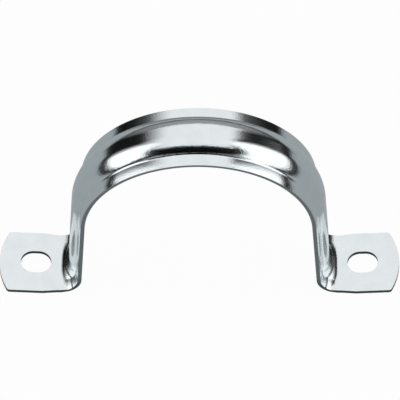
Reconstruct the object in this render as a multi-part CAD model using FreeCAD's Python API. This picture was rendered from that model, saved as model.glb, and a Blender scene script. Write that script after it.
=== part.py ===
"""Two-lug conduit strap, pressed and folded from one strip of zinc-plated steel.

Millimetres. The strap stands on the wall: +Z points away from the wall, X runs from foot to foot and Y along
the conduit. The origin is on the wall plane, midway between the two heels.

The strip is one sheet throughout. A rib is pressed outwards along the arch and down both legs. Each heel bends
the rib's crown on a tighter radius than the flanges, so that the rib runs out into a flat foot. Pressing the rib draws the strip
in, and the feet keep the strip's full width.
"""

import FreeCAD
import Part
import math
import os

# ---- driving dimensions -----------------------------------------------------------------------------------
conduit_diameter = 63.0  # outer diameter of the conduit that the strap holds
conduit_pinch = 1.6  # how much lower the free strap stands than a conduit on the wall: screwing down grips it
sheet_thickness = 1.2
strip_width = 18.5  # over the arch and down the legs

flange_width = 3.2  # plain edge of the strip on each side of the rib
rib_height = 2.2
rib_flank_angle = 38.0  # slope of the rib's sides
rib_root_radius = 0.7  # outer radius where a flange turns up into the rib
rib_shoulder_radius = 8.0  # outer radius where the rib's side turns into its crown: large, for a domed rib

splay = 4.0  # degrees: the legs spread, and the feet rise, until the screws draw the heels down
heel_radius = 5.1  # inside radius of the square bend from leg to foot
foot_reach = 56.6  # half the overall length, from the middle to a foot's rounded end
foot_width = 19.4
foot_flare = 4.0  # length of the foot, from the heel, in which the strip widens to the foot
foot_end_radius = 19.4  # radius of the rounded end in plan
foot_corner_radius = 1.0  # where the rounded end meets the foot's straight edges

slot_spacing = 92.0  # distance between the middles of the two slots
slot_length = 8.6
slot_width = 7.1
slot_overrun = 2.0  # how far a cutter runs past the sheet on each side
seam_tolerance = 1e-4  # largest gap closed when the faces are sewn into one skin

ORIGIN = FreeCAD.Vector(0, 0, 0)
ALONG = FreeCAD.Vector(0, 1, 0)  # the conduit's direction
ACROSS = FreeCAD.Vector(1, 0, 0)  # from foot to foot
UP = FreeCAD.Vector(0, 0, 1)  # away from the wall

# ---- what follows from them: the right leg, heel and foot -------------------------------------------------
turn = math.radians(splay)
flank = math.radians(rib_flank_angle)
seat_radius = conduit_diameter / 2
seat_centre = UP * (seat_radius - conduit_pinch)
heel_outer_radius = heel_radius + sheet_thickness
arch_angle = 180 - 2 * splay

# The bend from leg to foot is square, so one pair of directions serves both.
outward = FreeCAD.Vector(math.cos(turn), 0, math.sin(turn))  # out of the leg, and along the foot to its end
downward = FreeCAD.Vector(math.sin(turn), 0, -math.cos(turn))  # down the leg, and into the foot's upper face

leg_top = seat_centre + outward * seat_radius
leg_length = (leg_top.z - heel_outer_radius * (1 - math.sin(turn))) / math.cos(turn)
heel_centre = leg_top + downward * leg_length + outward * heel_outer_radius
foot_length = (foot_reach - heel_centre.x - downward.x * heel_outer_radius) / outward.x

# A corner's arc touches the foot's straight edge and, from within, its rounded end.
corner_offset = foot_width / 2 - foot_corner_radius
corner_run = math.sqrt((foot_end_radius - foot_corner_radius) ** 2 - corner_offset**2)
foot_straight = foot_length - foot_end_radius + corner_run


# ---- profiles ---------------------------------------------------------------------------------------------
def rounded_line(corners, radii):
    """Edges of an open line through the corners. Each corner is rounded by its own tangent arc; 0 is sharp."""
    runs = []
    last = len(corners) - 1
    for i, corner in enumerate(corners):
        if radii[i] == 0:
            runs.append((corner, None, corner))
            continue
        before = (corners[i - 1] - corner).normalize()
        after = (corners[i + 1] - corner).normalize()
        half = before.getAngle(after) / 2
        reach = radii[i] / math.tan(half)
        centre = corner + (before + after).normalize() * (radii[i] / math.sin(half))
        middle = centre + (corner - centre).normalize() * radii[i]
        runs.append((corner + before * reach, middle, corner + after * reach))
    edges = []
    for i, (start, middle, end) in enumerate(runs):
        if middle is not None:
            edges.append(Part.Arc(start, middle, end).toShape())
        if i < last:
            edges.append(Part.LineSegment(end, runs[i + 1][0]).toShape())
    return edges


def strip_profile(level):
    """The strip's line across one face of the sheet at the top of the right leg: 0 is its inner face.

    The flank keeps its slope and the sheet its thickness, so the corners of the inner line lie closer in.
    """
    slant = math.tan(flank / 2)
    root = strip_width / 2 - flange_width - (sheet_thickness - level) * slant
    crown = root - rib_height / math.tan(flank)
    half_width = strip_width / 2
    across = [-half_width, -root, -crown, crown, root, half_width]
    out = [level, level, level + rib_height, level + rib_height, level, level]
    root_radius = rib_root_radius + sheet_thickness - level
    shoulder_radius = rib_shoulder_radius - sheet_thickness + level
    radii = [0, root_radius, shoulder_radius, shoulder_radius, root_radius, 0]
    corners = [leg_top + ALONG * y + outward * n for y, n in zip(across, out)]
    return rounded_line(corners, radii)


# ---- faces ------------------------------------------------------------------------------------------------
def ends(edge):
    """An edge's first and last points."""
    return edge.valueAt(edge.FirstParameter), edge.valueAt(edge.LastParameter)


def way_down(level, height):
    """The leg's line and the heel's arc at one height above the flanges: the higher, the tighter the arc."""
    radius = heel_outer_radius - level - height
    centre = heel_centre + downward * height
    start = leg_top + outward * (level + height)
    leg_end = centre - outward * radius
    middle = centre + (downward - outward).normalize() * radius
    leg_line = Part.LineSegment(start, leg_end).toShape()
    return leg_line, Part.Arc(leg_end, middle, centre + downward * radius).toShape()


def faces_down(edge, level):
    """The faces that one edge of the strip's line draws down the leg and round the heel."""
    start, end = ends(edge)
    heights = [(point - leg_top).dot(outward) - level for point in (start, end)]
    if isinstance(edge.Curve, Part.Line) and abs(heights[1] - heights[0]) < seam_tolerance:
        lines = way_down(level, heights[0])
        return [line.translated(ALONG * start.y).extrude(ALONG * (end.y - start.y)) for line in lines]

    # On the rib's sides the height changes. Each pole of the way down is a place at no height, the move for each
    # unit of height, and a weight; together with the edge's own poles they give the exact surface.
    radius = heel_outer_radius - level
    top = leg_top + outward * level
    leg_end = heel_centre - outward * radius
    leg_poles = [(top, outward, 1), (leg_end, outward + downward, 1)]
    heel_poles = [
        (leg_end, outward + downward, 1),
        (leg_end + downward * radius, outward, math.sqrt(0.5)),
        (heel_centre + downward * radius, ORIGIN, 1),
    ]
    curve = edge.Curve.toBSpline(edge.FirstParameter, edge.LastParameter)
    across = [(pole.y, (pole - leg_top).dot(outward) - level) for pole in curve.getPoles()]
    faces = []
    for poles in (leg_poles, heel_poles):
        surface = Part.BSplineSurface()
        surface.buildFromPolesMultsKnots(
            [[place + ALONG * y + move * height for y, height in across] for place, move, _ in poles],
            [len(poles), len(poles)],
            curve.getMultiplicities(),
            [0, 1],
            curve.getKnots(),
            False,
            False,
            len(poles) - 1,
            curve.Degree,
            [[share * weight for weight in curve.getWeights()] for _, _, share in poles],
        )
        faces.append(surface.toShape())
    return faces


def foot_outline(profile, radius):
    """Edges round one face of the foot: those where the heel ends, and the sides with the rounded end."""
    base = heel_centre + downward * radius
    centre = base + outward * (foot_length - foot_end_radius)
    near = []
    for edge in profile:
        start, end = ends(edge)
        near.append(Part.LineSegment(base + ALONG * start.y, base + ALONG * end.y).toShape())
    rim = []
    meetings = []
    for side in (-1, 1):
        corner_centre = base + outward * foot_straight + ALONG * (side * corner_offset)
        ray = (corner_centre - centre).normalize()
        on_side = corner_centre + ALONG * (side * foot_corner_radius)
        between = corner_centre + (ALONG * side + ray).normalize() * foot_corner_radius
        on_end = corner_centre + ray * foot_corner_radius
        at_heel = base + ALONG * (side * strip_width / 2)
        widened = base + outward * foot_flare + ALONG * (side * foot_width / 2)
        rim.append(Part.LineSegment(at_heel, widened).toShape())
        rim.append(Part.LineSegment(widened, on_side).toShape())
        rim.append(Part.Arc(on_side, between, on_end).toShape())
        meetings.append(on_end)
    rim.append(Part.Arc(meetings[0], centre + outward * foot_end_radius, meetings[1]).toShape())
    return near, rim


def face_inside(edges):
    """The flat face inside a closed line."""
    return Part.Face(Part.Wire(Part.sortEdges(edges)[0]))


def mirrored(shapes):
    """The same on the left."""
    return [shape.mirror(ORIGIN, ACROSS) for shape in shapes]


# ---- the strap --------------------------------------------------------------------------------------------
arch_faces = []
arch_side = []  # the strip's edge over the arch, drawn on the middle plane
right_faces = []
right_side = []  # and from the leg's top to the heel's end
for level, radius in ((0, heel_outer_radius), (sheet_thickness, heel_radius)):
    start = leg_top + outward * level
    crest = seat_centre + UP * (seat_radius + level)
    arch_side.append(Part.Arc(start, crest, FreeCAD.Vector(-start.x, 0, start.z)).toShape())
    leg_line, heel_line = way_down(level, 0)
    right_side += [leg_line, heel_line]

    profile = strip_profile(level)
    for edge in profile:
        arch_faces.append(edge.revolve(seat_centre, ALONG * -1, arch_angle))
        right_faces += faces_down(edge, level)
    near, rim = foot_outline(profile, radius)
    right_faces.append(face_inside(near + rim))
    if level == 0:
        heel_end = ends(heel_line)[1]
        right_side.append(Part.LineSegment(heel_end, heel_end - downward * sheet_thickness).toShape())
        right_faces += [edge.extrude(downward * -sheet_thickness) for edge in rim]

side_face = face_inside(arch_side + right_side + mirrored(right_side))
sides = [side_face.translated(ALONG * (side * strip_width / 2)) for side in (-1, 1)]
skin = Part.makeCompound(arch_faces + right_faces + mirrored(right_faces) + sides)
skin.sewShape(seam_tolerance)
strap = Part.makeSolid(skin.Shells[0])

# The slots are pierced square to the wall, so the screws stand upright in them.
half_run = (slot_length - slot_width) / 2
cut_depth = heel_outer_radius + 2 * slot_overrun
for side in (-1, 1):
    middle = ACROSS * (side * slot_spacing / 2) - UP * slot_overrun
    corner = middle - ACROSS * half_run - ALONG * (slot_width / 2)
    cutter = Part.makeBox(2 * half_run, slot_width, cut_depth, corner)
    for end in (-1, 1):
        drill = Part.makeCylinder(slot_width / 2, cut_depth, middle + ACROSS * (end * half_run), UP)
        cutter = cutter.fuse(drill)
    strap = strap.cut(cutter.removeSplitter())

os.makedirs("parts", exist_ok=True)
strap.exportStep("parts/strap.step")
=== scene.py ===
"""Conduit strap: the looks of one pressed and folded strip of bright zinc-plated steel."""

import math

import bmesh
import bpy
from mathutils import Matrix, Vector


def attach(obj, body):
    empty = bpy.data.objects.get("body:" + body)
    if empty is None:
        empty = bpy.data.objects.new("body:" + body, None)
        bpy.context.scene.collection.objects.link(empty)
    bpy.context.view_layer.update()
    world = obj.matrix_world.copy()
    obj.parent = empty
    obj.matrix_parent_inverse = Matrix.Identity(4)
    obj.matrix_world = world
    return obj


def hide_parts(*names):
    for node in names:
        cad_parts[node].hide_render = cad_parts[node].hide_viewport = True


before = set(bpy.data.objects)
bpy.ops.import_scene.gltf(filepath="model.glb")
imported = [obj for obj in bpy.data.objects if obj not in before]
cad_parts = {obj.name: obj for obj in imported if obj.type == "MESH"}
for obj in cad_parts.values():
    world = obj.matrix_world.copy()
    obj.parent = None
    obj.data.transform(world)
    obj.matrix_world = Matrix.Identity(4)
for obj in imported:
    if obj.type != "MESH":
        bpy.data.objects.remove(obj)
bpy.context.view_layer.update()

MM = 0.001


class Value:
    """A number that changes over a surface or with direction. Arithmetic on it adds Math nodes."""

    def __init__(self, tree, socket):
        self.tree = tree
        self.socket = socket

    def math(self, operation, first, second):
        return add(self.tree, "ShaderNodeMath", {"operation": operation}, {0: first, 1: second})

    def __add__(self, other):
        return self.math("ADD", self, other)

    __radd__ = __add__

    def __sub__(self, other):
        return self.math("SUBTRACT", self, other)

    def __rsub__(self, other):
        return self.math("SUBTRACT", other, self)

    def __mul__(self, other):
        return self.math("MULTIPLY", self, other)

    def __truediv__(self, other):
        return self.math("DIVIDE", self, other)

    def __pow__(self, other):
        return self.math("POWER", self, other)

    def above(self, limit, softness):
        """0 below the limit and 1 above it, with a soft edge between."""
        return add(self.tree, "ShaderNodeClamp", {}, {0: (self - limit) / softness + 0.5})


def add(tree, kind, settings, inputs, output=0):
    """Adds one shader node: its settings first, then its sockets' values or links."""
    node = tree.nodes.new(kind)
    for name, setting in settings.items():
        setattr(node, name, setting)
    for name, given in inputs.items():
        if isinstance(given, Value):
            tree.links.new(given.socket, node.inputs[name])
        else:
            node.inputs[name].default_value = given
    return Value(tree, node.outputs[output]) if node.outputs else None


def blend(tree, share, first, second):
    """The first colour where the share is 0, the second where it is 1."""
    return add(tree, "ShaderNodeMix", {"data_type": "RGBA"}, {0: share, 6: first, 7: second}, 2)


def empty_tree(owner):
    owner.use_nodes = True
    owner.node_tree.nodes.clear()
    return owner.node_tree


# ---- the strap's sizes in metres --------------------------------------------------------------------------
# They are the solid's, except that the rib is steeper and more sharply bent, and that the sheet is a little
# thinner and the feet a little shorter, so that the strap stays inside the solid's box.
arch_radius = 31.5 * MM
arch_height = 29.9 * MM  # of the arch's centre over the wall
sheet = 1.15 * MM
strip_width = 18.5 * MM
flange_width = 3.2 * MM
rib_height = 2.2 * MM
rib_slope = math.radians(50.0)
root_radius = 0.7 * MM
shoulder_radius = 6.4 * MM
splay = math.radians(4.0)
heel_radius = 5.1 * MM
foot_reach = 56.3 * MM
foot_width = 19.4 * MM
foot_flare = 4.0 * MM
foot_end_radius = 19.4 * MM
foot_corner_radius = 1.0 * MM
slot_spacing = 92.0 * MM
slot_length = 8.6 * MM
slot_width = 7.1 * MM

# What the press and the shears leave, which the solid does without.
front_droop = 0.5 * MM  # pressing the rib leaves the strip's edges a little lower than its roots
back_droop = 0.2 * MM
curl_width = 1.9 * MM  # of the front flange's outer part, which droops more than the rest
curl_start = 0.1 * MM  # how low it begins
curl_radius = 9.0 * MM
droop_hold = 12  # the more, the further round the heel the droop lasts
edge_rounding = 0.16 * MM
sharp_edge = math.radians(50)  # the least bend that counts as a sheared edge
flat_face_weight = 80  # how much a large flat face steers the shading of its edges

# How finely the curves are drawn.
arch_steps = 60
leg_steps = 6
heel_steps = 28
root_steps = 5
shoulder_steps = 14
corner_steps = 5
foot_end_steps = 28
slot_steps = 40
rounding_steps = 3
near_run = 1.0 * MM  # length of the foot's first faces, two fans that end short of the slot
same_place = 1e-6  # points closer than this are one
points_at_most = 100000  # in any mesh here

along = Vector((0, 1, 0))
outward = Vector((math.cos(splay), 0, math.sin(splay)))  # out of the right leg, and along its foot
downward = Vector((math.sin(splay), 0, -math.cos(splay)))
arch_centre = Vector((0, 0, arch_height))
leg_top = arch_centre + outward * (arch_radius + sheet)  # on the strip's outer face, as all that follows
leg_length = (leg_top.z + heel_radius * math.sin(splay) - (heel_radius + sheet)) / math.cos(splay)
heel_centre = leg_top + downward * leg_length + outward * heel_radius
foot_start = heel_centre + downward * heel_radius
foot_length = (foot_reach - foot_start.x - downward.x * sheet) / outward.x
corner_offset = foot_width / 2 - foot_corner_radius
corner_run = math.sqrt((foot_end_radius - foot_corner_radius) ** 2 - corner_offset**2)
foot_straight = foot_length - foot_end_radius + corner_run


def only(geometry, kind):
    return [part for part in geometry if isinstance(part, kind)]


def strip_line(mesh):
    """The strip's outer line across the right leg's top: flange, rib and flange, with rounded corners."""
    root = strip_width / 2 - flange_width
    crown = root - rib_height / math.tan(rib_slope)
    across = [-strip_width / 2, curl_width - strip_width / 2, -root, -crown, crown, root, strip_width / 2]
    heights = [-front_droop, -curl_start, 0, rib_height, rib_height, 0, -back_droop]
    corners = [mesh.verts.new(leg_top + outward * n + along * y) for y, n in zip(across, heights)]
    for first, second in zip(corners, corners[1:]):
        mesh.edges.new((first, second))
    curl_angle = math.atan((front_droop - curl_start) / curl_width)
    for index, radius, angle, steps in (
        (1, curl_radius, curl_angle, root_steps),
        (2, root_radius, rib_slope, root_steps),
        (5, root_radius, rib_slope, root_steps),
        (3, shoulder_radius, rib_slope, shoulder_steps),
        (4, shoulder_radius, rib_slope, shoulder_steps),
    ):
        bmesh.ops.bevel(
            mesh,
            geom=[corners[index]],
            affect="VERTICES",
            offset_type="OFFSET",
            offset=radius * math.tan(angle / 2),
            segments=steps,
            profile=0.5,
            material=-1,
        )
    return list(mesh.edges)


def way_down(step, height):
    """A place on the way down the leg and round the heel.

    The higher above the flanges, the tighter the turn, so the rib runs out at the heel's end. A drooping edge
    comes up to the foot there.
    """
    rise = max(height, 0)
    if step <= leg_steps:
        return leg_top + outward * height + downward * ((leg_length + rise) * step / leg_steps)
    angle = math.pi / 2 * (step - leg_steps) / heel_steps
    centre = heel_centre + downward * rise
    radius = heel_radius - (height if height > 0 else height * min(1, droop_hold * math.cos(angle) ** 4))
    return centre + downward * (radius * math.sin(angle)) - outward * (radius * math.cos(angle))


def turn(mesh, point, centre, angle, steps):
    """Draws a rounded edge of the foot: one point turns in the foot's plane. Returns where it ends."""
    made = bmesh.ops.spin(mesh, geom=[point], cent=centre, axis=-downward, angle=angle, steps=steps)
    return only(made["geom_last"], bmesh.types.BMVert)[0]


def slot_edge(mesh):
    """A slot's edge in the right foot: a circle, with its halves moved apart along the foot."""
    centre = foot_start + outward * ((slot_spacing / 2 - foot_start.x) / outward.x)
    tilt = Matrix.Rotation(-splay, 4, "Y")
    half_step = Matrix.Rotation(math.pi / slot_steps, 4, "Z")
    place = Matrix.Translation(centre) @ tilt @ half_step
    circle = bmesh.ops.create_circle(mesh, segments=slot_steps, radius=slot_width / 2, matrix=place)["verts"]
    for side in (-1, 1):
        half = [v for v in circle if (v.co - centre).dot(outward) * side > 0]
        bmesh.ops.translate(mesh, verts=half, vec=outward * (side * (slot_length - slot_width) / 2))


def foot_plate(mesh, line):
    """Fills the foot beyond the heel: the flare, straight sides, rounded corners and end, and the slot."""
    points = sorted({v for edge in line for v in edge.verts}, key=lambda v: v.co.y)
    near_width = strip_width + (foot_width - strip_width) * near_run / foot_flare
    near_middle = foot_start + outward * near_run
    sides = [mesh.verts.new(near_middle + along * (side * near_width / 2)) for side in (1, -1)]
    back, front = sides
    for first, second in zip(points, points[1:]):
        mesh.faces.new((first, second, back if second.co.y > 0 else front))
    middle = next(point for point in reversed(points) if point.co.y <= 0)
    mesh.faces.new((middle, back, front))
    near = mesh.edges.get(sides)
    before = set(mesh.edges)
    for run in (foot_flare, foot_straight):
        sides = bmesh.ops.extrude_vert_indiv(mesh, verts=sides)["verts"]
        for point in sides:
            point.co = foot_start + outward * run + along * math.copysign(foot_width / 2, point.co.y)

    end_centre = foot_start + outward * (foot_straight - corner_run)
    half_end = math.asin(corner_offset / (foot_end_radius - foot_corner_radius))
    corner = foot_start + outward * foot_straight
    point = min(sides, key=lambda v: v.co.y)
    point = turn(mesh, point, corner - along * corner_offset, math.pi / 2 - half_end, corner_steps)
    point = turn(mesh, point, end_centre, 2 * half_end, foot_end_steps)
    turn(mesh, point, corner + along * corner_offset, math.pi / 2 - half_end, corner_steps)

    slot_edge(mesh)
    border = [edge for edge in mesh.edges if edge not in before]
    bmesh.ops.remove_doubles(mesh, verts=list({v for edge in border for v in edge.verts}), dist=same_place)
    border = [edge for edge in mesh.edges if edge not in before]
    bmesh.ops.triangle_fill(mesh, edges=border + [near], use_beauty=True, normal=-downward)


def strip_face(mesh):
    """The outer face of the whole strip, from the crest of the arch down the right side, then mirrored."""
    line = strip_line(mesh)
    bmesh.ops.spin(
        mesh,
        geom=line + list(mesh.verts),
        cent=arch_centre,
        axis=-along,
        angle=math.pi / 2 - splay,
        steps=arch_steps,
    )
    heights = {round(v.co.y, 7): (v.co - leg_top).dot(outward) for edge in line for v in edge.verts}
    for step in range(1, leg_steps + heel_steps + 1):
        made = bmesh.ops.extrude_edge_only(mesh, edges=line)["geom"]
        points = only(made, bmesh.types.BMVert)
        for point in points:
            point.co = way_down(step, heights[round(point.co.y, 7)]) + along * point.co.y
        ahead = set(points)
        line = [edge for edge in only(made, bmesh.types.BMEdge) if ahead.issuperset(edge.verts)]
    foot_plate(mesh, line)
    half = list(mesh.verts) + list(mesh.edges) + list(mesh.faces)
    bmesh.ops.mirror(mesh, geom=half, axis="X", merge_dist=same_place)
    bmesh.ops.remove_doubles(mesh, verts=list(mesh.verts), dist=same_place)
    bmesh.ops.recalc_face_normals(mesh, faces=list(mesh.faces))
    top = max(mesh.faces, key=lambda face: face.calc_center_median().z)
    if top.normal.z < 0:
        bmesh.ops.reverse_faces(mesh, faces=list(mesh.faces))
    for face in mesh.faces:
        face.smooth = True


def sort_key(part):
    """A number that no other edge or no other face has, made from its points' numbers."""
    numbers = sorted(point.index for point in part.verts)
    return (numbers[0] * points_at_most + numbers[1]) * points_at_most + numbers[-1]


def object_of(mesh, name):
    """Puts a finished mesh in the scene, with its edges and faces in the same order on every run."""
    mesh.verts.index_update()
    mesh.edges.sort(key=sort_key)
    mesh.faces.sort(key=sort_key)
    data = bpy.data.meshes.new(name)
    mesh.to_mesh(data)
    mesh.free()
    made = bpy.data.objects.new(name, data)
    bpy.context.scene.collection.objects.link(made)
    return made


def sheet_metal_strap():
    """The strap: its outer face, given the sheet's thickness and rounded sheared edges."""
    mesh = bmesh.new()
    strip_face(mesh)
    piece = object_of(mesh, "strap_strip")
    thickness = piece.modifiers.new("sheet", "SOLIDIFY")
    thickness.thickness = sheet
    thickness.offset = -1
    thickness.use_even_offset = True
    thickness.material_offset_rim = 1
    rounding = piece.modifiers.new("sheared_edges", "BEVEL")
    rounding.width = edge_rounding
    rounding.segments = rounding_steps
    rounding.limit_method = "ANGLE"
    rounding.angle_limit = sharp_edge
    rounding.material = 1
    shading = piece.modifiers.new("shading", "WEIGHTED_NORMAL")
    shading.weight = flat_face_weight
    return piece


strap = sheet_metal_strap()
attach(strap, "root")
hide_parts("strap")

# ---- finishes ---------------------------------------------------------------------------------------------
zinc_colour = (0.77, 0.815, 0.83, 1)
dull_zinc_colour = (0.73, 0.775, 0.79, 1)
zinc_roughness = 0.135
grain_depth = 0.016 * MM
grain_scale = 2800.0
roll_depth = 0.06 * MM
roll_scale = 90.0
blotch_scale = 260.0
blotch_softness = 0.35

sheared_colour = (0.34, 0.36, 0.365, 1)
# painted shade: a darker copy of the cut edges' colour, standing in for the contact shadow the feet sit in
painted_shade_colour = (0.12, 0.13, 0.135, 1)
sheared_roughness = 0.5
# below this height over the wall the cut edges blend into the painted shade colour
foot_shade_height = 5 * MM  # over the wall


def bright_zinc():
    """Fresh zinc plating: close to a mirror, with a fine grain, faint blotches and a slight roll in it."""
    material = bpy.data.materials.new("bright_zinc")
    tree = empty_tree(material)
    place = add(tree, "ShaderNodeTexCoord", {}, {}, "Object")
    grain = add(tree, "ShaderNodeTexNoise", {}, {"Vector": place, "Scale": grain_scale, "Detail": 0.0})
    roll = add(tree, "ShaderNodeTexNoise", {}, {"Vector": place, "Scale": roll_scale, "Detail": 1.0})
    height = grain * grain_depth + roll * roll_depth
    normal = add(tree, "ShaderNodeBump", {}, {"Strength": 1.0, "Distance": 1.0, "Height": height})
    blotches = add(tree, "ShaderNodeTexNoise", {}, {"Vector": place, "Scale": blotch_scale, "Detail": 3.0})
    colour = blend(tree, blotches.above(0.5, blotch_softness), dull_zinc_colour, zinc_colour)
    surface = add(
        tree,
        "ShaderNodeBsdfPrincipled",
        {},
        {"Base Color": colour, "Metallic": 1.0, "Roughness": zinc_roughness, "Normal": normal},
    )
    add(tree, "ShaderNodeOutputMaterial", {}, {"Surface": surface})
    return material


def sheared_steel():
    """The strip's cut edges and the slots' walls: torn dark by the press, with painted shade that makes them
    darkest on the feet.
    """
    material = bpy.data.materials.new("sheared_steel")
    tree = empty_tree(material)
    place = add(tree, "ShaderNodeTexCoord", {}, {}, "Object")
    height = add(tree, "ShaderNodeSeparateXYZ", {}, {0: place}, "Z")
    # painted shade: the cut edges darken towards the wall, darkest on the feet
    above_painted_shade = height.above(foot_shade_height, foot_shade_height)
    colour = blend(tree, above_painted_shade, painted_shade_colour, sheared_colour)
    surface = add(
        tree,
        "ShaderNodeBsdfPrincipled",
        {},
        {"Base Color": colour, "Metallic": 1.0, "Roughness": sheared_roughness},
    )
    add(tree, "ShaderNodeOutputMaterial", {}, {"Surface": surface})
    return material


for finish in (bright_zinc(), sheared_steel()):
    strap.data.materials.append(finish)

# ---- floor ------------------------------------------------------------------------------------------------
floor_half_width = 1.0
white = (1, 1, 1, 1)
table_colour = (0.6, 0.64, 0.66, 1)  # as the light falls on it
table_in_metal = (0.345, 0.375, 0.385, 1)  # as the metal mirrors it
share_seen_white = 0.97  # the rest of what the camera sees is lit, and so holds the strap's shadow
share_mirrored = 0.4


def white_table():
    """The table under the strap: white to look at, a pale grey where the metal mirrors it."""
    material = bpy.data.materials.new("white_table")
    tree = empty_tree(material)
    seen = add(tree, "ShaderNodeLightPath", {}, {}, "Is Camera Ray")
    mirrored = add(tree, "ShaderNodeLightPath", {}, {}, "Is Glossy Ray")
    lit = add(tree, "ShaderNodeBsdfDiffuse", {}, {"Color": table_colour})
    bright = add(tree, "ShaderNodeEmission", {}, {"Color": blend(tree, mirrored, white, table_in_metal)})
    share = seen * share_seen_white + mirrored * share_mirrored
    surface = add(tree, "ShaderNodeMixShader", {}, {0: share, 1: lit, 2: bright})
    add(tree, "ShaderNodeOutputMaterial", {}, {"Surface": surface})
    return material


floor_mesh = bmesh.new()
bmesh.ops.create_grid(floor_mesh, x_segments=1, y_segments=1, size=floor_half_width)
floor = object_of(floor_mesh, "floor")
floor.data.materials.append(white_table())

# ---- light: soft panels, by direction ---------------------------------------------------------------------
# A direction has a part x to the right, y to the back and z up. It faces back by 1 straight behind the strap,
# by 0 at its sides and by -1 straight in front of it.
soft = 0.06  # the width of most panels' soft edges
softer = 0.1

overhead_low_edge = math.radians(30.0)  # up from straight behind
overhead_far_edge = math.radians(107.0)  # and over the top
overhead_reach = 0.475  # to the right, and to the left
overhead_left_softness = 0.22
overhead_left_extra = 0.12  # how much further left it reaches in front of the step
overhead_step = 0.55
overhead_step_softness = 0.2

side_bottom = 0.14
side_back = 0.47
side_back_softness = 0.30
side_front = -0.75
side_top = 0.88
side_top_slope = 0.45  # their tops fall towards the front
side_back_shift = 0.05  # how far an edge of the right panel moves one way, and of the left one the other
side_front_shift = 0.15
side_top_shift = 0.06
side_strength = 1.35

back_edge = 0.82
back_softness = 0.26
back_bottom = 0.04
back_strength = 0.35

front_edge = -0.8
front_top = 0.45
front_strength = 0.4

darkest = 0.001
hair = 1e-6  # keeps straight up from being a division by 0


def studio_world():
    """Soft light by direction: a wide panel overhead, one on each side, and faint ones behind and ahead."""
    world = bpy.data.worlds.new("studio")
    tree = empty_tree(world)
    direction = add(tree, "ShaderNodeTexCoord", {}, {}, "Generated")
    x, y, z = (add(tree, "ShaderNodeSeparateXYZ", {}, {0: direction}, axis) for axis in "XYZ")
    facing_back = y / (x * x + y * y + hair) ** 0.5
    low_edge, far_edge = overhead_low_edge, overhead_far_edge
    left_reach = overhead_reach + (overhead_step - y).above(0, overhead_step_softness) * overhead_left_extra
    overhead = (
        (z * math.cos(low_edge) - y * math.sin(low_edge)).above(0, soft)
        * (y * math.sin(far_edge) - z * math.cos(far_edge)).above(0, soft)
        * (overhead_reach - x).above(0, softer)
        * (left_reach + x).above(0, overhead_left_softness)
    )
    beside = (
        z.above(side_bottom, soft)
        * (side_back + x * side_back_shift - facing_back).above(0, side_back_softness) ** 2
        * (facing_back + x * side_front_shift).above(side_front, soft)
        * (side_top + facing_back * side_top_slope + x * side_top_shift - z).above(0, soft)
    )
    behind = facing_back.above(back_edge, back_softness) * z.above(back_bottom, soft)
    ahead = (front_edge - facing_back).above(0, softer) * (front_top - z).above(0, softer)
    around = beside * side_strength + behind * back_strength + ahead * front_strength
    studio = overhead + (1 - overhead) * around + darkest
    seen = add(tree, "ShaderNodeLightPath", {}, {}, "Is Camera Ray")
    strength = seen + (1 - seen) * studio
    surface = add(tree, "ShaderNodeBackground", {}, {"Color": white, "Strength": strength})
    add(tree, "ShaderNodeOutputWorld", {}, {"Surface": surface})
    return world


bpy.context.scene.world = studio_world()


# ---- camera -----------------------------------------------------------------------------------------------
def studio_camera():
    """A long lens that looks down at the strap from in front."""
    elevation = math.radians(55.63)
    azimuth = math.radians(-0.838)
    roll = math.radians(0.63)
    distance = 850 * MM
    aim = Vector((0, 0, 30 * MM))
    right = Vector((math.cos(azimuth), -math.sin(azimuth), 0))
    back = Vector(
        (
            -math.cos(elevation) * math.sin(azimuth),
            -math.cos(elevation) * math.cos(azimuth),
            math.sin(elevation),
        )
    )
    up = back.cross(right)
    right, up = right * math.cos(roll) - up * math.sin(roll), right * math.sin(roll) + up * math.cos(roll)
    data = bpy.data.cameras.new("camera")
    data.sensor_width = 36
    data.lens = 279.07
    data.shift_x = 0.0033
    data.shift_y = 0.0124
    data.clip_end = 20
    camera = bpy.data.objects.new("camera", data)
    bpy.context.scene.collection.objects.link(camera)
    turned = Matrix((right, up, back)).transposed().to_4x4()
    camera.matrix_world = Matrix.Translation(aim + back * distance) @ turned
    bpy.context.scene.camera = camera


studio_camera()
bpy.context.scene.view_settings.view_transform = "Standard"
